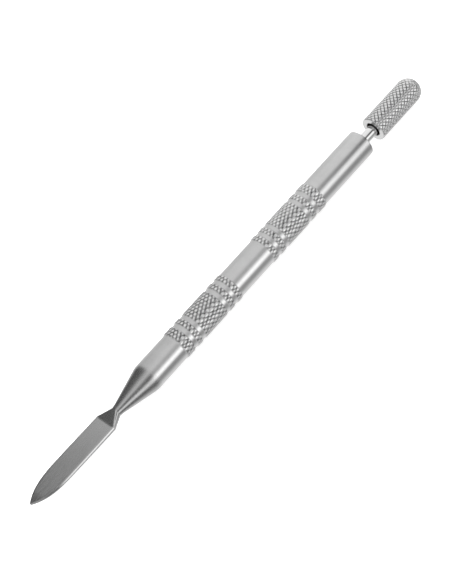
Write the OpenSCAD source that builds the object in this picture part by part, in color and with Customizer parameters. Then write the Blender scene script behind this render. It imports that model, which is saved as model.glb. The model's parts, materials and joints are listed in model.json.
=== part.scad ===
// Cuticle pusher: a turned steel handle with a flat pusher blade at one end
// and a knurled rasp head that turns on a polished spindle at the other.
// +X runs along the tool towards the rasp head and +Z is the normal of the blade's face.
// The origin is on the handle's axis, half way along the tool.

/* [Handle] */
// Diameter of the plain barrel
barrel_d = 7.15; // [6:0.05:7.4]
// Length of the handle from its front edge to its rear edge
handle_l = 75.3; // [70:0.1:90]
// Diameter over the raised grip bands
band_d = 7.55; // [7.45:0.05:8.4]
// Plain length in front of the front grip
front_plain_l = 8.4; // [5:0.1:14]
// Plain length between the two grips
middle_plain_l = 11.2; // [6:0.1:14]
// Width of a narrow grip band
narrow_band_l = 1.7; // [1.2:0.1:2.2]
// Width of the long grip band in the middle of each grip
long_band_l = 7.4; // [5:0.1:9]
// Width of the band at the outer end of each grip
end_band_l = 2.6; // [1.6:0.1:3.2]
// Gap between neighbouring grip bands
groove_w = 0.95; // [0.6:0.05:1.2]
// Chamfer on the barrel's rear edge
barrel_chamfer = 0.2; // [0.1:0.05:0.5]

/* [Pusher blade] */
// Length of the flat blade
blade_l = 23.55; // [18:0.05:28]
// Width of the flat blade where it starts to close to its point
blade_w = 5.76; // [4:0.02:6.4]
// Width of the blade at its root
root_w = 5.64; // [4:0.02:6.4]
// Thickness of the blade where it leaves the shoulder
blade_t = 0.95; // [0.8:0.05:1.6]
// Thickness of the blade at its tip
tip_t = 0.6; // [0.3:0.05:0.8]
// Length over which the blade narrows to its point
point_l = 12; // [8:0.1:16]
// Radius of the point's small round nose
nose_r = 0.5; // [0.1:0.05:0.6]
// Height of the blade's middle above the tool's axis at the root
root_rise = 0.08; // [0:0.01:0.3]
// Height of the blade's middle above the tool's axis at the tip
tip_rise = 0.43; // [0:0.01:1]
// Length of the sloping shoulder between blade and neck
shoulder_l = 3.3; // [2:0.1:5]
// Diameter of the neck
neck_d = 2.4; // [1.8:0.1:3]
// Length of the cone behind the neck
cone_l = 9.8; // [7:0.1:13]
// Length of the round land between cone and handle
land_l = 1.3; // [0.6:0.1:3]
// Diameter of the tang that is pressed into the handle
tang_d = 4; // [3:0.1:5]
// Length of that tang
tang_l = 9; // [6:0.5:14]

/* [Spindle and rasp head] */
// Diameter of the polished spindle
spindle_d = 2.8; // [2.5:0.1:3.1]
// Length of spindle pressed into the handle
spindle_grip_l = 9.7; // [6:0.1:14]
// Length of spindle that shows between handle and head
gap_l = 4.6; // [2:0.1:8]
// Length of the rasp head
head_l = 16.85; // [13:0.05:22]
// Diameter of the rasp head
head_d = 6.55; // [5:0.05:7]
// Diameter of the bore in the rasp head
head_bore_d = 3.6; // [3.4:0.1:4]
// Depth from the head's mouth to the bush
recess_l = 1.5; // [0.5:0.1:3]
// Diameter of the journal that the head turns on
journal_d = 2; // [1.6:0.1:2.2]
// Radial running clearance between journal and bush
running_gap = 0.05; // [0.02:0.01:0.08]
// Length of the bush
bush_l = 3; // [2:0.1:5]
// Diameter of the collar that keeps the bush on the journal
collar_d = 3; // [2.8:0.1:3.2]
// Thickness of that collar
collar_t = 1.2; // [0.8:0.1:2]

/* [Hidden] */
$fn = 96;

overall_l = blade_l + shoulder_l + cone_l + land_l + handle_l + gap_l + head_l;
tip_x = -overall_l / 2;
blade_root_x = tip_x + blade_l;
neck_x = blade_root_x + shoulder_l;
land_x = neck_x + cone_l;
handle_front_x = land_x + land_l;
handle_rear_x = handle_front_x + handle_l;
head_x = handle_rear_x + gap_l;
journal_x = head_x + recess_l;
end_play = 0.05;
bush_x = journal_x + end_play;
collar_x = bush_x + bush_l + end_play;

barrel_r = barrel_d / 2;
band_r = band_d / 2;
grip_bands = [end_band_l, narrow_band_l, long_band_l, narrow_band_l, narrow_band_l];
grip_l = sum(grip_bands) + groove_w * (len(grip_bands) - 1);
front_grip_x = handle_front_x + front_plain_l;
rear_grip_x = front_grip_x + 2 * grip_l + middle_plain_l;

drill_point_angle = 118;
bore_end_gap = 0.3;
joint_overlap = 0.3;
// The shoulder ends this far inside the neck's edge.
neck_step = 0.04;
slice = 0.02;
profile_steps = 16;
half_width = blade_w / 2;
point_power = 3.5;
point_angle = atan(half_width * point_power / point_l);
nose_cut = nose_r / sin(point_angle) - nose_r;
nose_l = nose_r * (1 - sin(point_angle));
head_chamfer = 0.25;
mouth_chamfer = 0.2;
head_steps = 10;

function sum(v, n = 0) = n < len(v) ? v[n] + sum(v, n + 1) : 0;

// Where the n-th band of a grip starts, counted from the grip's outer end.
function band_start(n) = n == 0 ? 0 : band_start(n - 1) + grip_bands[n - 1] + groove_w;

// Height of the blade's middle plane and half its thickness, from root (u = 0) to tip (u = 1).
function lift(u) = root_rise + (tip_rise - root_rise) * u;
function half_t(u) = (blade_t + (tip_t - blade_t) * u) / 2;
function blade_x(u) = blade_root_x - u * blade_l;

// Places its children on the tool's axis at x, with their own +Z along the tool.
module along(x) {
    translate([x, 0, 0]) rotate([0, 90, 0]) children();
}

// The plain barrel from its own z = 0, with its far edge chamfered.
module barrel() {
    edge = barrel_chamfer;
    rotate_extrude()
        polygon([[0, 0], [barrel_r, 0], [barrel_r, handle_l - edge], [barrel_r - edge, handle_l], [0, handle_l]]);
}

// A drilled hole from its own z = 0, with the drill's cone at the bottom.
module drilled(d, l) {
    point_h = d / 2 / tan(drill_point_angle / 2);
    rotate_extrude()
        polygon([[0, -1], [d / 2, -1], [d / 2, l], [0, l + point_h]]);
}

// One raised band with its flanks turned at 45 degrees.
module band(l) {
    flank = band_r - barrel_r;
    rotate_extrude()
        polygon([[0, 0], [barrel_r, 0], [band_r, flank], [band_r, l - flank], [barrel_r, l], [0, l]]);
}

// The five bands of one grip, from its outer end at the local z = 0.
module grip() {
    for (n = [0 : len(grip_bands) - 1])
        translate([0, 0, band_start(n)]) band(grip_bands[n]);
}

module handle() {
    color("silver") difference() {
        union() {
            along(handle_front_x) barrel();
            along(front_grip_x) grip();
            translate([rear_grip_x, 0, 0]) rotate([0, -90, 0]) grip();
        }
        along(handle_front_x) drilled(tang_d, tang_l + bore_end_gap);
        translate([handle_rear_x, 0, 0]) rotate([0, -90, 0])
            drilled(spindle_d, spindle_grip_l + bore_end_gap);
    }
}

// Half of the blade's width at a distance d from its tip. The two edges bend in ever more
// quickly towards the point, and the nose touches them both.
function point_half(d) = d < nose_l
    ? sqrt(nose_r * nose_r - pow(nose_r - d, 2))
    : half_width * (1 - pow(1 - (d + nose_cut) / point_l, point_power));

// Outline of the blade seen from above, with its points set closer together towards the tip.
module blade_outline() {
    point = [for (i = [profile_steps : -1 : 1])
        let (d = (point_l - nose_cut) * pow(i / profile_steps, 2)) [tip_x + d, point_half(d)]];
    upper = concat([[blade_root_x + joint_overlap, root_w / 2]], point);
    lower = [for (i = [len(upper) - 1 : -1 : 0]) [upper[i][0], -upper[i][1]]];
    polygon(concat(upper, [[tip_x, 0]], lower));
}

// Side view of the blade: it rises and thins evenly towards the tip.
module blade_side() {
    root_u = -joint_overlap / blade_l;
    polygon([
        for (end = [[root_u, 1], [1, 1], [1, -1], [root_u, -1]])
            [blade_x(end[0]), lift(end[0]) + end[1] * half_t(end[0])]
    ]);
}

module pusher_blade() {
    color("gainsboro") {
        intersection() {
            translate([0, 0, -blade_w]) linear_extrude(2 * blade_w) blade_outline();
            rotate([90, 0, 0]) translate([0, 0, -blade_w]) linear_extrude(2 * blade_w) blade_side();
        }
        hull() {
            translate([blade_root_x, -root_w / 2, lift(0) - blade_t / 2]) cube([slice, root_w, blade_t]);
            along(neck_x) cylinder(d = neck_d - 2 * neck_step, h = slice, $fn = 32);
        }
        along(neck_x) cylinder(d1 = neck_d, d2 = barrel_d, h = cone_l);
        along(land_x) cylinder(d = barrel_d, h = land_l);
        along(handle_front_x - joint_overlap) cylinder(d = tang_d, h = tang_l + joint_overlap);
    }
}

module spindle() {
    shank_x = handle_rear_x - spindle_grip_l;
    color("whitesmoke") {
        along(shank_x) cylinder(d = spindle_d, h = journal_x - shank_x);
        along(journal_x - joint_overlap)
            cylinder(d = journal_d, h = collar_x + collar_t - journal_x + joint_overlap);
    }
}

module bearing_bush() {
    color("goldenrod") along(bush_x) difference() {
        cylinder(d = head_bore_d, h = bush_l);
        translate([0, 0, -1]) cylinder(d = journal_d + 2 * running_gap, h = bush_l + 2);
    }
}

module stop_collar() {
    color("gray") along(collar_x) difference() {
        cylinder(d = collar_d, h = collar_t);
        translate([0, 0, -1]) cylinder(d = journal_d, h = collar_t + 2);
    }
}

// The head's side is straight and its end is a dome of the head's own radius.
module rasp_head() {
    r = head_d / 2;
    dome = [for (i = [1 : head_steps])
        let (a = 90 * i / head_steps)
        [r * cos(a), head_l - r + r * sin(a)]];
    base = [[0, 0], [r - head_chamfer, 0], [r, head_chamfer], [r, head_l - r]];
    bore_l = recess_l + bush_l + collar_t + 2 * end_play + bore_end_gap;
    color("silver") along(head_x) difference() {
        rotate_extrude() polygon(concat(base, dome));
        drilled(head_bore_d, bore_l);
        translate([0, 0, -slice])
            cylinder(d1 = head_bore_d + 2 * mouth_chamfer, d2 = head_bore_d, h = mouth_chamfer + slice);
    }
}

handle();
pusher_blade();
spindle();
bearing_bush();
stop_collar();
rasp_head();
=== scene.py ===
"""Cuticle pusher: the looks of the turned handle, the pusher blade, the spindle and the rasp head."""

import json
import math

import bpy
import numpy as np
from mathutils import Matrix, Vector


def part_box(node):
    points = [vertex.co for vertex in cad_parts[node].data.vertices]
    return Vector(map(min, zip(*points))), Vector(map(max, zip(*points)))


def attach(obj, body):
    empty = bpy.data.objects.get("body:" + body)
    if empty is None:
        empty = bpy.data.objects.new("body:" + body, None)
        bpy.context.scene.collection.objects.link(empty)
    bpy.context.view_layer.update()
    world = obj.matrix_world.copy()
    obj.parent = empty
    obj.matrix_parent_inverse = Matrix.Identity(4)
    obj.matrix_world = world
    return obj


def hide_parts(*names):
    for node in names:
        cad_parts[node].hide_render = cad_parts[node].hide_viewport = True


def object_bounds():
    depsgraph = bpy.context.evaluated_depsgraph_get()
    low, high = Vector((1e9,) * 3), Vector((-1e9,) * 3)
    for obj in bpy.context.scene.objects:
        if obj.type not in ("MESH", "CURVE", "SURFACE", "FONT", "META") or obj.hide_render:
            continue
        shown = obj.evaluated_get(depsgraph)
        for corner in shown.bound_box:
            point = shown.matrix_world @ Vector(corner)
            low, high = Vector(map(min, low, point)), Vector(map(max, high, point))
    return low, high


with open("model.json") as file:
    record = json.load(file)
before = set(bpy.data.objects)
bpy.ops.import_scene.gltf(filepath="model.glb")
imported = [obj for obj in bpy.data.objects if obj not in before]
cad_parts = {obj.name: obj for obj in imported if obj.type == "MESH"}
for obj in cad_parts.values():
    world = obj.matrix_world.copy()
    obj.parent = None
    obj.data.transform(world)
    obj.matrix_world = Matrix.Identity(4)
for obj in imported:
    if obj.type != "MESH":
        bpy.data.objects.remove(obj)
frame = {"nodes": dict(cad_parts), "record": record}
cad_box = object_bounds()

MM = 0.001


# ---------------------------------------------------------------- sizes taken from the frame

def mount(name):
    return next(m for m in frame["record"]["mounts"] if m["name"] == name)


def mount_end(name):
    """Where a plain barrel along the tool ends, on its +X side."""
    barrel = mount(name)
    return barrel["pos_m"][0] + barrel["dims"]["length_mm"] * MM / 2


HANDLE_LO, HANDLE_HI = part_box("handle")
BLADE_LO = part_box("pusher_blade")[0]
SPINDLE_LO, SPINDLE_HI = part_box("spindle")
BUSH_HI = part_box("bearing_bush")[1]
HEAD_LO, HEAD_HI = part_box("rasp_head")

BARREL_R = mount("rear_barrel")["dims"]["r_mm"] * MM
FRONT_GRIP_X = mount_end("front_barrel")
REAR_CHAMFER = 0.2 * MM
REAR_PLAIN = mount("rear_barrel")["dims"]["length_mm"] * MM + REAR_CHAMFER
BAND_R = HANDLE_HI.z
HEAD_R = HEAD_HI.z
BORE_R = BUSH_HI.z
SPINDLE_R = SPINDLE_HI.z


# ---------------------------------------------------------------- the camera and the light's directions

# The camera looks down on the tool, which lies with its blade flat, from beside it and a little
# past its blade end. All angles are about the tool's own axis.
VIEW_ROLL = math.radians(38)
VIEW_LEAN = math.radians(17.9)
VIEW_DISTANCE = 297 * MM
PICTURE_ANGLE = math.radians(47.7)
LENS = 81.4
ALONG = Vector((1, 0, 0))
FACING = Vector((0, -math.sin(VIEW_ROLL), math.cos(VIEW_ROLL)))
ACROSS = Vector((0, -math.cos(VIEW_ROLL), -math.sin(VIEW_ROLL)))


def add_camera():
    """The tool's axis runs up to the right in the picture at PICTURE_ANGLE."""
    middle = Vector((-0.85 * MM, 0, 0))
    to_camera = FACING * math.cos(VIEW_LEAN) - ALONG * math.sin(VIEW_LEAN)
    uphill = ALONG * math.cos(VIEW_LEAN) + FACING * math.sin(VIEW_LEAN)
    place = middle + to_camera * VIEW_DISTANCE
    aim = middle - uphill * 2.8 * MM + ACROSS * 0.115 * MM
    back = (place - aim).normalized()
    right = uphill * math.cos(PICTURE_ANGLE) + ACROSS * math.sin(PICTURE_ANGLE)
    up = back.cross(right).normalized()
    right = up.cross(back)
    data = bpy.data.cameras.new("camera")
    data.lens = LENS
    data.clip_start = 0.01
    camera = bpy.data.objects.new("camera", data)
    camera.matrix_world = Matrix.Translation(place) @ Matrix((right, up, back)).transposed().to_4x4()
    bpy.context.collection.objects.link(camera)
    bpy.context.scene.camera = camera


add_camera()


# ---------------------------------------------------------------- mesh helpers

SHARP = math.radians(24)


def new_object(name, points, faces, painted_shading=None, sharp=SHARP):
    """The last argument is painted shading for the material, per point: 0 is plain steel, 1 is a groove's
    bottom in painted shade, and below 0 is a painted highlight.
    """
    mesh = bpy.data.meshes.new(name)
    mesh.from_pydata(points, [], faces)
    mesh.validate()
    if painted_shading:
        mesh.attributes.new("painted_shading", "FLOAT", "POINT").data.foreach_set("value", painted_shading)
    mesh.polygons.foreach_set("use_smooth", [True] * len(mesh.polygons))
    mesh.set_sharp_from_angle(angle=sharp)
    obj = bpy.data.objects.new(name, mesh)
    bpy.context.collection.objects.link(obj)
    return obj


def skin(rows):
    """Joins rows of points, each an array of N points or one pole, into a closed surface.

    A row's fourth column, if it has one, is its painted shading.

    A quad is split along the diagonal whose ends are nearest the same height above the axis,
    and along the lower one where both are level, so that knurled grooves stay straight.
    """
    points, starts, painted_shading = [], [], []
    for row in rows:
        starts.append(len(points))
        points.extend(map(tuple, row[:, :3]))
        painted_shading.extend(row[:, 3] if row.shape[1] == 4 else [0.0] * len(row))
    height = [math.hypot(p[1], p[2]) for p in points]
    faces = []
    for k in range(len(rows) - 1):
        a, b = starts[k], starts[k + 1]
        count_a, count_b = len(rows[k]), len(rows[k + 1])
        for i in range(max(count_a, count_b)):
            j = (i + 1) % max(count_a, count_b)
            if count_a == 1:
                faces.append((a, b + j, b + i))
            elif count_b == 1:
                faces.append((a + i, a + j, b))
            else:
                p, q, r, s = a + i, a + j, b + j, b + i
                fall, rise = height[p] + height[r], height[q] + height[s]
                bend_pr = round(abs(height[p] - height[r]), 8)
                bend_qs = round(abs(height[q] - height[s]), 8)
                if bend_pr == bend_qs and abs(fall - rise) < 1e-9:
                    faces.append((p, q, r, s))
                elif (bend_pr, fall) <= (bend_qs, rise):
                    faces += [(p, q, r), (p, r, s)]
                else:
                    faces += [(p, q, s), (q, r, s)]
    return points, faces, painted_shading


def ring(x, radius, angles, painted_shading=0.0):
    """Points round the tool's axis. x, radius and the painted shading are numbers or one value for each
    angle.
    """
    spread = np.ones_like(angles)
    return np.column_stack((x * spread, radius * np.cos(angles), radius * np.sin(angles), painted_shading * spread))


def pole(x):
    return np.array([[x, 0.0, 0.0]])


def turn_angles(count):
    return np.arange(count) * 2 * np.pi / count


# ---------------------------------------------------------------- knurling

# Painted shade, darkest where grooves cross and less along the grooves. The crests get a painted highlight,
# brighter than plain turned steel: by this part of what the painted shade takes away.
CROSSING_SHARE, SHADE_SPREAD, CREST_SHINE = 0.8, 1.5, 0.22


def knurl(distance, angles, around, pitch, flat):
    """Two crossing sets of grooves leave blunt pyramids: depth below the crests, 0 to 1, and painted
    shading, which is painted shade in the grooves and a painted highlight on the crests.
    """
    turn = angles * around / (2 * np.pi)

    def groove(v):
        ridge = 1 - np.abs(2 * (v - np.floor(v)) - 1)
        return 1 - np.minimum(ridge, flat) / flat

    one, other = groove(turn + distance / pitch), groove(turn - distance / pitch)
    depth = np.maximum(one, other)
    shade_and_shine = CROSSING_SHARE * one * other + (1 - CROSSING_SHARE) * depth**SHADE_SPREAD
    return depth, shade_and_shine * (1 + CREST_SHINE) - CREST_SHINE


def knurl_steps(start, end, pitch, split, margin):
    """Places between start and end that fall on the knurl's own grid, so that its grooves stay sharp."""
    step = pitch / split
    first, last = math.ceil((start + margin) / step), math.floor((end - margin) / step)
    return [k * step for k in range(first, last + 1)]


# ---------------------------------------------------------------- handle

GRIP_AROUND, GRIP_PITCH, GRIP_DEPTH, GRIP_FLAT = 23, 1.7 * MM, 0.09 * MM, 0.8
GRIP_SPLIT = 12
NARROW_BAND, LONG_BAND, END_BAND, GROOVE = 1.7 * MM, 7.4 * MM, 2.6 * MM, 0.95 * MM
GRIP_BANDS = [END_BAND, NARROW_BAND, LONG_BAND, NARROW_BAND, NARROW_BAND]
TANG_R, TANG_LENGTH, TANG_GAP = 2 * MM, 9 * MM, 0.02 * MM
# How far each bore runs past what it holds, along its wall and at its drilled point.
BORE_ROOM, TANG_POINT, SPINDLE_POINT, SPINDLE_GAP = 0.3 * MM, 1.5 * MM, 1.1 * MM, 0.01 * MM


def grip_bands():
    """(start, end) of every raised band, from the blade end."""
    spans, at = [], FRONT_GRIP_X
    for width in GRIP_BANDS:
        spans.append((at, at + width))
        at += width + GROOVE
    at = HANDLE_HI.x - REAR_PLAIN
    rear = []
    for width in GRIP_BANDS:
        rear.append((at - width, at))
        at -= width + GROOVE
    return spans + rear[::-1]


def band_rows(start, end, angles):
    """One knurled band, with flanks turned at 45 degrees that cut into the pyramids."""
    flank = BAND_R - BARREL_R
    soft = 0.03 * MM
    near = [0, soft, 0.35 * flank, 0.7 * flank, flank, 1.3 * flank]
    places = [start + d for d in near]
    places += knurl_steps(start, end, GRIP_PITCH, GRIP_SPLIT, 1.45 * flank)
    places += [end - d for d in reversed(near)]
    rows = []
    for x in places:
        depth, painted_shading = knurl(x, angles, GRIP_AROUND, GRIP_PITCH, GRIP_FLAT)
        cut = min(x - start, end - x)
        reach = np.minimum(BAND_R - GRIP_DEPTH * depth, BARREL_R + cut)
        # The knurl's painted shade and highlight fade out over the flanks.
        rows.append(ring(x, reach, angles, painted_shading * min(1, cut / flank)))
    return rows


def make_handle():
    angles = turn_angles(GRIP_AROUND * GRIP_SPLIT)
    front, rear = HANDLE_LO.x, HANDLE_HI.x
    rows = [pole(front + TANG_LENGTH + TANG_POINT)]
    rows += [ring(x, TANG_R, angles) for x in (front + TANG_LENGTH + BORE_ROOM, front)]
    rows.append(ring(front, BARREL_R, angles))
    for start, end in grip_bands():
        rows += band_rows(start, end, angles)
    edge = REAR_CHAMFER
    rows.append(ring(rear - 1.6 * edge, BARREL_R, angles))
    for turn in np.linspace(0, math.pi / 2, 6):
        x = rear - edge + edge * math.sin(turn)
        rows.append(ring(x, BARREL_R - edge + edge * math.cos(turn), angles))
    rows.append(ring(rear, SPINDLE_R + SPINDLE_GAP, angles))
    rows.append(ring(SPINDLE_LO.x - BORE_ROOM, SPINDLE_R + SPINDLE_GAP, angles))
    rows.append(pole(SPINDLE_LO.x - SPINDLE_POINT))
    return new_object("turned_handle", *skin(rows))


# ---------------------------------------------------------------- rasp head

RASP_AROUND, RASP_PITCH, RASP_DEPTH, RASP_FLAT = 16, 1.21 * MM, 0.1 * MM, 0.4
RASP_SPLIT = 12
RASP_RIM = 0.05 * MM
RASP_FADE = math.radians(40)
DOME_STEPS = 56
# How far the bore runs past the bush, along its wall and at its drilled point.
PAST_BUSH, PAST_BUSH_POINT = 2 * MM, 3 * MM
MOUTH = 0.2 * MM
# The bore is painted dark: painted shade in the hollow. The painted shade starts sharply, part of the way
# down the mouth's slope.
BORE_SHADE = 3.2
UNSHADED_SHARE, SHADED_SHARE = 0.55, 0.62


def make_rasp_head():
    """The knurl runs from the rim along the side and up the dome, where it fades out."""
    angles = turn_angles(RASP_AROUND * RASP_SPLIT)
    base, end = HEAD_LO.x, HEAD_HI.x
    side_end = end - HEAD_R
    plain_r = HEAD_R - RASP_DEPTH
    # The bore's rows and the mouth's inner rows carry painted shade.
    rows = [pole(BUSH_HI.x + PAST_BUSH_POINT), ring(BUSH_HI.x + PAST_BUSH, BORE_R, angles, BORE_SHADE)]
    rows += [ring(base + MOUTH, BORE_R, angles, BORE_SHADE)]
    rows += [ring(base + SHADED_SHARE * MOUTH, BORE_R + (1 - SHADED_SHARE) * MOUTH, angles, BORE_SHADE)]
    rows += [ring(base + UNSHADED_SHARE * MOUTH, BORE_R + (1 - UNSHADED_SHARE) * MOUTH, angles)]
    rows += [ring(base, BORE_R + MOUTH, angles), ring(base, plain_r - RASP_RIM, angles)]
    rows.append(ring(base + RASP_RIM, plain_r, angles))
    for x in knurl_steps(base + RASP_RIM, side_end, RASP_PITCH, RASP_SPLIT, 0):
        depth, painted_shading = knurl(x, angles, RASP_AROUND, RASP_PITCH, RASP_FLAT)
        ramp = plain_r + max(x - base - RASP_RIM, 0)
        rows.append(ring(x, np.minimum(HEAD_R - RASP_DEPTH * depth, ramp), angles, painted_shading))
    for k in range(1, DOME_STEPS):
        turn = math.pi / 2 * k / DOME_STEPS
        walked = side_end + HEAD_R * turn
        fade = max(0.0, 1 - (turn / RASP_FADE) ** 3)
        depth, painted_shading = knurl(walked, angles, RASP_AROUND, RASP_PITCH, RASP_FLAT)
        reach = HEAD_R - RASP_DEPTH * fade * depth
        place = side_end + reach * math.sin(turn)
        rows.append(ring(place, reach * math.cos(turn), angles, fade * painted_shading))
    rows.append(pole(end))
    return new_object("knurled_rasp_head", *skin(rows))


# ---------------------------------------------------------------- pusher blade

ROOT_HALF, BELLY_HALF = 2.86 * MM, 2.92 * MM
POINT_LENGTH, POINT_POWER, NOSE_R = 12 * MM, 3.5, 0.5 * MM
BLADE_LENGTH, SHOULDER, CONE = 23.55 * MM, 3.3 * MM, 9.8 * MM
NECK_R = 1.17 * MM
BLADE_T, TIP_T = 0.95 * MM, 0.6 * MM
ROOT_RISE, TIP_RISE = 0.08 * MM, 0.48 * MM
EDGE_BEVEL, EDGE_DROP, POINT_BEVEL = 0.15 * MM, 0.31 * MM, 0.24 * MM
LOW_BEVEL = 0.11 * MM
# The upper face bends softly into the bevel.
SOFT_EDGE, SOFT_DROP = 0.24 * MM, 0.07 * MM
# The bevel widens over this stretch from the tip.
POINT_START, POINT_FULL = 8.5 * MM, 5.5 * MM
# The upper face sinks by this much over the last stretch before the tip. The steel there is also painted
# darker towards the tip: painted shade.
TIP_SINK, TIP_DARK = 0.05 * MM, 3 * MM
TIP_X = BLADE_LO.x
ROOT_X = TIP_X + BLADE_LENGTH
NECK_X = ROOT_X + SHOULDER
FLAT_POINTS, SOFT_POINTS, BEVEL_POINTS, SIDE_POINTS = 12, 2, 5, 8


def half_width(x):
    """Half of the blade's width. It is nearly even, and then it closes ever faster to a small round nose."""
    to_tip = max(x - TIP_X, 0)
    lean = math.atan(BELLY_HALF * POINT_POWER / POINT_LENGTH)
    nose_cut = NOSE_R / math.sin(lean) - NOSE_R
    if to_tip < NOSE_R * (1 - math.sin(lean)):
        return math.sqrt(NOSE_R**2 - (NOSE_R - to_tip) ** 2)
    left = max(0.0, 1 - (to_tip + nose_cut) / POINT_LENGTH)
    straight = min(1.0, (ROOT_X - x) / (BLADE_LENGTH - POINT_LENGTH))
    belly = ROOT_HALF + (BELLY_HALF - ROOT_HALF) * math.sin(math.pi / 2 * straight)
    return belly * (1 - left**POINT_POWER)


def blade_section(x):
    """Outline of the blade at x, as (y, z) points: top, bevel, side, bevel, bottom and back up."""
    u = (ROOT_X - x) / BLADE_LENGTH
    wide = half_width(x)
    thick = BLADE_T + (TIP_T - BLADE_T) * u
    lift = ROOT_RISE + (TIP_RISE - ROOT_RISE) * u
    ground = min(1.0, max(0.0, (POINT_START - (x - TIP_X)) / (POINT_START - POINT_FULL)))
    bevel = min(EDGE_BEVEL + (POINT_BEVEL - EDGE_BEVEL) * ground, 0.4 * wide)
    sink = TIP_SINK * max(0.0, 1 - (x - TIP_X) / TIP_DARK) ** 2
    return loop_points(wide, bevel, lift + thick / 2 - sink, lift - thick / 2)


def loop_points(wide, bevel, top, bottom):
    """The section's corners joined by evenly spaced points, from the upper face's left end."""
    low_bevel = min(LOW_BEVEL, 0.7 * wide)
    edge = wide - bevel
    flat = edge - min(SOFT_EDGE, 0.4 * wide)
    rim, low_rim = top - SOFT_DROP, top - EDGE_DROP
    corners = [
        ((-flat, top), (flat, top), FLAT_POINTS),
        ((flat, top), (edge, rim), SOFT_POINTS),
        ((edge, rim), (wide, low_rim), BEVEL_POINTS - SOFT_POINTS),
        ((wide, low_rim), (wide, bottom + low_bevel), SIDE_POINTS),
        ((wide, bottom + low_bevel), (wide - low_bevel, bottom), BEVEL_POINTS),
        ((wide - low_bevel, bottom), (low_bevel - wide, bottom), FLAT_POINTS),
        ((low_bevel - wide, bottom), (-wide, bottom + low_bevel), BEVEL_POINTS),
        ((-wide, bottom + low_bevel), (-wide, low_rim), SIDE_POINTS),
        ((-wide, low_rim), (-edge, rim), BEVEL_POINTS - SOFT_POINTS),
        ((-edge, rim), (-flat, top), SOFT_POINTS),
    ]
    points = []
    for (y0, z0), (y1, z1), count in corners:
        for i in range(count):
            f = i / count
            points.append((y0 + (y1 - y0) * f, z0 + (z1 - z0) * f))
    return np.array(points)


def round_angles():
    """Angle from straight up of each section point on the round neck and cone."""
    flat, bevel, side = math.radians(17), math.radians(42), math.radians(62)
    below, around = math.pi, 2 * math.pi
    spans = [
        (-flat, flat, FLAT_POINTS),
        (flat, flat + bevel, BEVEL_POINTS),
        (flat + bevel, flat + bevel + side, SIDE_POINTS),
        (below - flat - bevel, below - flat, BEVEL_POINTS),
        (below - flat, below + flat, FLAT_POINTS),
        (below + flat, below + flat + bevel, BEVEL_POINTS),
        (below + flat + bevel, below + flat + bevel + side, SIDE_POINTS),
        (around - flat - bevel, around - flat, BEVEL_POINTS),
    ]
    return np.array([a + (b - a) * i / count for a, b, count in spans for i in range(count)])


def round_section(radius):
    turn = round_angles()
    return np.column_stack((radius * np.sin(turn), radius * np.cos(turn)))


def cone_radius(x):
    """The cone leaves the neck in a small hollow and runs into the barrel's size over a soft shoulder."""
    walked = (x - NECK_X) / CONE
    cone = NECK_R + (BARREL_R - NECK_R) * walked
    soft = 0.25 * MM
    near = max(soft - abs(cone - BARREL_R), 0)
    hollow = 0.1 * MM * math.exp(-((walked / 0.06) ** 2))
    return min(cone, BARREL_R) - near**2 / (4 * soft) + hollow


def to_row(x, section, painted_shading=0.0):
    """A section's (y, z) points at x, as a row for skin()."""
    spread = np.ones(len(section))
    return np.column_stack((x * spread, section[:, 0], section[:, 1], painted_shading * spread))


def make_blade():
    front, tang_r = HANDLE_LO.x, TANG_R - TANG_GAP
    rows = [pole(front + TANG_LENGTH), to_row(front + TANG_LENGTH, round_section(tang_r))]
    rows.append(to_row(front, round_section(tang_r)))
    for f in np.linspace(0, 1, 80):
        x = front + (NECK_X - front) * f
        rows.append(to_row(x, round_section(cone_radius(x))))
    neck, root = round_section(cone_radius(NECK_X)), blade_section(ROOT_X)
    for f in np.linspace(0, 1, 16)[1:]:
        rows.append(to_row(NECK_X - f * SHOULDER, neck + (root - neck) * f))
    steps = 90
    for k in range(1, steps):
        f = math.sin(math.pi / 2 * k / steps)
        x = ROOT_X - f * BLADE_LENGTH
        # Painted shade: the steel is painted darker over the last stretch before the tip.
        tip_shade = min(1.0, max(0.0, 2 - 2 * (x - TIP_X) / TIP_DARK))
        rows.append(to_row(x, blade_section(x), tip_shade))
    rows.append(np.array([[TIP_X, 0.0, TIP_RISE]]))
    return new_object("forged_pusher_blade", *skin(rows))


# ---------------------------------------------------------------- materials

def node_material(name):
    material = bpy.data.materials.new(name)
    material.use_nodes = True
    nodes = material.node_tree.nodes
    return material, nodes, material.node_tree.links, nodes["Principled BSDF"]


def noise(nodes, links, vector, scale, detail=3.0):
    node = nodes.new("ShaderNodeTexNoise")
    node.inputs["Scale"].default_value = scale
    node.inputs["Detail"].default_value = detail
    links.new(vector, node.inputs["Vector"])
    return node.outputs["Fac"]


def stretched(nodes, links, scale):
    """Object coordinates stretched by scale, so that noise turns into lines or rings."""
    where = nodes.new("ShaderNodeTexCoord")
    mapping = nodes.new("ShaderNodeMapping")
    mapping.inputs["Scale"].default_value = scale
    links.new(where.outputs["Object"], mapping.inputs["Vector"])
    return mapping.outputs["Vector"]


def ranged(nodes, links, value, low, high):
    node = nodes.new("ShaderNodeMapRange")
    node.inputs["From Min"].default_value = 0.3
    node.inputs["From Max"].default_value = 0.7
    node.inputs["To Min"].default_value = low
    node.inputs["To Max"].default_value = high
    links.new(value, node.inputs["Value"])
    return node.outputs["Result"]


def math_node(nodes, links, operation, a, b):
    node = nodes.new("ShaderNodeMath")
    node.operation = operation
    for socket, value in zip(node.inputs, (a, b)):
        if isinstance(value, (int, float)):
            socket.default_value = value
        else:
            links.new(value, socket)
    return node.outputs["Value"]


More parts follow.
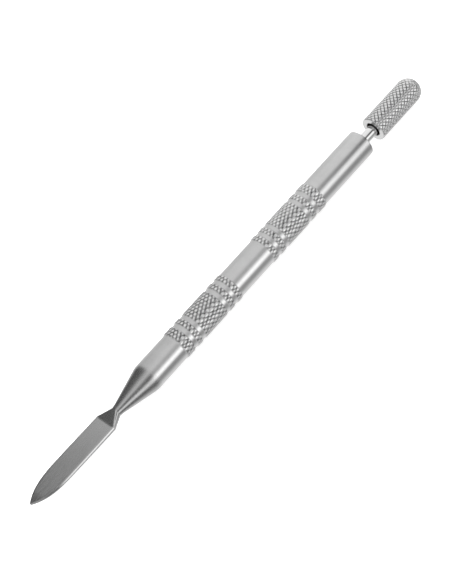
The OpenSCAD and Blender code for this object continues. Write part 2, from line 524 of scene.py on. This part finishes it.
def mixed(nodes, links, blend, factor, a, b):
    node = nodes.new("ShaderNodeMix")
    node.data_type = "RGBA"
    node.blend_type = blend
    node.clamp_factor = True
    for name, value in (("Factor", factor), ("A", a), ("B", b)):
        if isinstance(value, (int, float, tuple)):
            node.inputs[name].default_value = value
        else:
            links.new(value, node.inputs[name])
    return node.outputs["Result"]


SPECKLE = 0.8
CLOUDS, SPECKS = (300, 300, 300), (2600, 2600, 2600)


def steel(name, tone, rough, grain_scale, grain, blotch=0.03, bump=0.02, painted_shading=0.0):
    """Stainless steel: fine grain in one direction, with cloudy changes in tone and polish.

    The last argument is how much darker the painted shade makes the steel where the mesh's painted shading
    is 1, as in a knurl's grooves; where that is below 0 the steel gets a painted highlight.
    """
    material, nodes, links, shader = node_material(name)
    shader.inputs["Metallic"].default_value = 1.0
    cloud = noise(nodes, links, stretched(nodes, links, CLOUDS), 1.0)
    lines = noise(nodes, links, stretched(nodes, links, grain_scale), 1.0, 2.0)
    tint = nodes.new("ShaderNodeMix")
    tint.data_type = "RGBA"
    tones = tone if isinstance(tone, tuple) else (tone, tone, tone)
    tint.inputs["A"].default_value = (*(t - blotch for t in tones), 1)
    tint.inputs["B"].default_value = (*(t + blotch for t in tones), 1)
    links.new(cloud, tint.inputs["Factor"])
    colour = tint.outputs["Result"]
    if painted_shading:
        # Painted shade and highlight from the mesh's painted shading, made patchy by speckle noise.
        where = nodes.new("ShaderNodeAttribute")
        where.attribute_name = "painted_shading"
        speckle = noise(nodes, links, stretched(nodes, links, SPECKS), 1.0)
        speckle = ranged(nodes, links, speckle, 1 - SPECKLE, 1 + SPECKLE)
        patchy = math_node(nodes, links, "MULTIPLY", where.outputs["Fac"], speckle)
        shade_and_shine = math_node(nodes, links, "MULTIPLY_ADD", patchy, -painted_shading)
        shade_and_shine.node.inputs[2].default_value = 1.0
        colour = mixed(nodes, links, "MULTIPLY", 1.0, colour, shade_and_shine)
    links.new(colour, shader.inputs["Base Color"])
    links.new(ranged(nodes, links, lines, rough - grain, rough + grain), shader.inputs["Roughness"])
    relief = nodes.new("ShaderNodeBump")
    relief.inputs["Strength"].default_value = bump
    relief.inputs["Distance"].default_value = 0.02 * MM
    links.new(lines, relief.inputs["Height"])
    links.new(relief.outputs["Normal"], shader.inputs["Normal"])
    return material


TURNED = (14000, 900, 900)
GROUND = (500, 9000, 9000)

# The last arguments set how strongly shade is painted into the knurl's grooves, the head's bore and the
# blade's tip, and highlights onto the knurl's crests.
grip_steel = steel("knurled_steel", 0.6, 0.2, TURNED, 0.04, 0.045, painted_shading=1.0)
blade_steel = steel("ground_steel", 0.58, 0.24, GROUND, 0.06, painted_shading=0.22)
spindle_steel = steel("polished_steel", 0.79, 0.07, TURNED, 0.02, 0.02, 0.01)
rasp_steel = steel("rasp_steel", 0.62, 0.18, TURNED, 0.04, painted_shading=0.66)
collar_steel = steel("turned_steel", 0.5, 0.3, TURNED, 0.05)
bronze = steel("bronze", (0.62, 0.43, 0.2), 0.32, TURNED, 0.06)


def paint(obj, material):
    obj.data.materials.clear()
    obj.data.materials.append(material)


def paint_node(name, material):
    for slot in frame["nodes"][name].material_slots:
        slot.material = material


# ---------------------------------------------------------------- the object's pieces

handle = make_handle()
paint(handle, grip_steel)
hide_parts("handle")
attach(handle, "tool")

blade = make_blade()
paint(blade, blade_steel)
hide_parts("pusher_blade")
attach(blade, "tool")

head = make_rasp_head()
paint(head, rasp_steel)
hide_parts("rasp_head")
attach(head, "head")

paint_node("spindle", spindle_steel)
paint_node("bearing_bush", bronze)
paint_node("stop_collar", collar_steel)


# ---------------------------------------------------------------- floor and light

def add_floor():
    """A pale table under the tool. The steel doesn't mirror it, since the studio has its own table."""
    size = 3.0
    low = cad_box[0].z
    corners = [(-size, -size, low), (size, -size, low), (size, size, low), (-size, size, low)]
    floor = new_object("floor", corners, [(0, 1, 2, 3)])
    material, nodes, links, shader = node_material("floor_white")
    shader.inputs["Base Color"].default_value = (0.86, 0.86, 0.86, 1)
    shader.inputs["Roughness"].default_value = 0.9
    shader.inputs["Emission Color"].default_value = WHITE
    shader.inputs["Emission Strength"].default_value = 0.7
    paint(floor, material)
    floor.visible_glossy = False


def ramp(nodes, links, value, stops):
    """A colour ramp of greys: stops are (position from 0 to 1, brightness)."""
    node = nodes.new("ShaderNodeValToRGB")
    elements = node.color_ramp.elements
    elements[0].position, elements[1].position = stops[0][0], stops[-1][0]
    elements[0].color = (*(stops[0][1],) * 3, 1)
    elements[1].color = (*(stops[-1][1],) * 3, 1)
    for position, bright in stops[1:-1]:
        elements.new(position).color = (*(bright,) * 3, 1)
    links.new(value, node.inputs["Fac"])
    return node.outputs["Color"]


def dot(nodes, links, direction, axis):
    node = nodes.new("ShaderNodeVectorMath")
    node.operation = "DOT_PRODUCT"
    links.new(direction, node.inputs[0])
    node.inputs[1].default_value = axis
    return node.outputs["Value"]


# The studio is shaped, not plain: these brightnesses were set to suit the first camera.
# Brightness of the studio round the tool's axis, by the angle from the camera's side towards the
# lower right of the picture. Seen from the rasp head's side there is a broad pale wall, a narrow
# seam, a dark screen and the white table. Seen from the blade's side the wall is dark.
HEAD_SIDE = [
    (-180, 1.1), (-147, 0.9), (-127, 0.78), (-109, 0.78), (-82, 0.88), (-37, 0.93), (-9, 0.87), (6, 0.78),
    (18, 0.85), (51, 0.85), (62, 0.6), (69, 0.45), (83, 0.44), (92, 0.53), (104, 0.74), (118, 0.93),
    (134, 1.02), (150, 1.08), (180, 1.1),
]
BLADE_SIDE = [
    (-180, 1.3), (-143, 0.8), (-118, 0.14), (-108, 0.11), (-63, 0.14), (-41, 0.35), (-26, 0.65), (-15, 0.75),
    (-5, 0.5), (5, 0.2), (15, 0.14), (32, 0.2), (67, 0.2), (75, 0.14), (85, 0.17), (99, 0.38), (112, 0.6),
    (127, 0.78), (150, 0.9), (180, 1.3),
]
# A narrow dark seam between the pale wall and the strip light, deeper towards the rasp head's side.
SEAM = [(-180, 0), (-20, 0), (-4, 1), (9, 1), (20, 0), (180, 0)]
SEAM_LENGTHWAYS = [
    (-90, 0), (8, 0), (13, 0.06), (18, 0.22), (23, 0.28), (25.2, 0.14), (26.1, 0.95), (60, 0.95), (90, 0),
]
STRIP = [(-180, 0), (20, 0), (37, 1), (48, 1), (65, 0), (180, 0)]
# The strip light isn't quite parallel to the tool: it turns by this much of the angle along the tool.
STRIP_SKEW = 0.18
# How far the light is that of the rasp head's side, and the strip light's strength, by the angle
# along the tool, from the blade's side to the head's.
LENGTHWAYS = [
    (-90, 0), (5.5, 0), (7, 0.07), (8.3, 0.22), (9.7, 0.5), (10.8, 0.68), (13.2, 0.95), (15, 1), (90, 1),
]
STRIP_LENGTHWAYS = [
    (-90, 0.3), (-16, 0.85), (3, 1.0), (8, 1.4), (12, 1.02), (18, 1.05), (23, 0.62), (26, 0.5), (50, 0.3),
    (90, 0.3),
]

# Past the spindle's angle the studio is brighter above the tool and darker below it.
PAST_SPINDLE = [
    (-180, 1.2), (-130, 1.4), (-60, 1.15), (0, 0.9), (60, 0.84), (100, 0.66), (130, 0.72), (180, 1.2),
]
PAST_SPINDLE_SHARE = [(-90, 0), (25.5, 0), (26.6, 1), (90, 1)]
# The studio's two far ends, past the blade's tip and past the rasp head, and how far they show.
FAR_ENDS = [(-90, 0.7), (-50, 0.7), (-28, 0.7), (0, 0.7), (1, 0.55), (90, 0.45)]
FAR_ENDS_SHARE = [(-90, 1), (-40, 1), (-20, 0), (48, 0), (75, 0.8), (90, 1)]

WHITE = (1, 1, 1, 1)


def by_angle(nodes, links, fraction, stops, half_range):
    """A ramp over fraction, which runs from 0 at -half_range to 1 at half_range degrees."""
    placed = [((angle + half_range) / (2 * half_range), bright) for angle, bright in stops]
    return ramp(nodes, links, fraction, placed)


def inverted(nodes, links, colour):
    node = nodes.new("ShaderNodeInvert")
    links.new(colour, node.inputs["Color"])
    return node.outputs["Color"]


def add_world():
    """The shaped studio, which only the steel's reflections show. The camera sees plain white."""
    world = bpy.data.worlds.new("studio")
    world.use_nodes = True
    nodes, links = world.node_tree.nodes, world.node_tree.links
    direction = nodes.new("ShaderNodeTexCoord").outputs["Generated"]
    across, facing, along = (dot(nodes, links, direction, axis) for axis in (ACROSS, FACING, ALONG))
    angle = math_node(nodes, links, "ARCTAN2", across, facing)
    turn = math_node(nodes, links, "MULTIPLY_ADD", angle, 0.5 / math.pi)
    turn.node.inputs[2].default_value = 0.5
    lean = math_node(nodes, links, "ARCSINE", along, 0.0)
    lean = math_node(nodes, links, "MULTIPLY_ADD", lean, 1 / math.pi)
    lean.node.inputs[2].default_value = 0.5
    near_head = by_angle(nodes, links, turn, HEAD_SIDE, 180)
    near_blade = by_angle(nodes, links, turn, BLADE_SIDE, 180)
    share = by_angle(nodes, links, lean, LENGTHWAYS, 90)
    walls = mixed(nodes, links, "MIX", share, near_blade, near_head)
    skewed = math_node(nodes, links, "MULTIPLY_ADD", lean, STRIP_SKEW / 2)
    skewed.node.inputs[2].default_value = -STRIP_SKEW / 4
    skewed = math_node(nodes, links, "ADD", turn, skewed)
    strip = by_angle(nodes, links, skewed, STRIP, 180)
    reach = by_angle(nodes, links, lean, STRIP_LENGTHWAYS, 90)
    strip = mixed(nodes, links, "MULTIPLY", 1.0, strip, reach)
    seam = by_angle(nodes, links, turn, SEAM, 180)
    seam = mixed(nodes, links, "MULTIPLY", 1.0, seam, by_angle(nodes, links, lean, SEAM_LENGTHWAYS, 90))
    walls = mixed(nodes, links, "MULTIPLY", 1.0, walls, inverted(nodes, links, seam))
    light = mixed(nodes, links, "ADD", 1.0, walls, strip)
    beyond = by_angle(nodes, links, turn, PAST_SPINDLE, 180)
    beyond = mixed(nodes, links, "MIX", by_angle(nodes, links, lean, PAST_SPINDLE_SHARE, 90), WHITE, beyond)
    light = mixed(nodes, links, "MULTIPLY", 1.0, light, beyond)
    ends = by_angle(nodes, links, lean, FAR_ENDS, 90)
    light = mixed(nodes, links, "MIX", by_angle(nodes, links, lean, FAR_ENDS_SHARE, 90), light, ends)
    seen = nodes.new("ShaderNodeLightPath").outputs["Is Camera Ray"]
    light = mixed(nodes, links, "MIX", seen, light, WHITE)
    background = nodes["Background"]
    links.new(light, background.inputs["Color"])
    bpy.context.scene.world = world


def add_lamp():
    """A large soft lamp overhead that keeps the table white. The steel doesn't mirror it."""
    data = bpy.data.lights.new("overhead", "AREA")
    data.shape = "DISK"
    data.size = 0.9
    data.energy = 9.0
    lamp = bpy.data.objects.new("overhead", data)
    lamp.location = (0, 0.1, 0.8)
    lamp.visible_glossy = False
    bpy.context.collection.objects.link(lamp)


add_floor()
add_world()
add_lamp()
bpy.context.scene.view_settings.view_transform = "Standard"
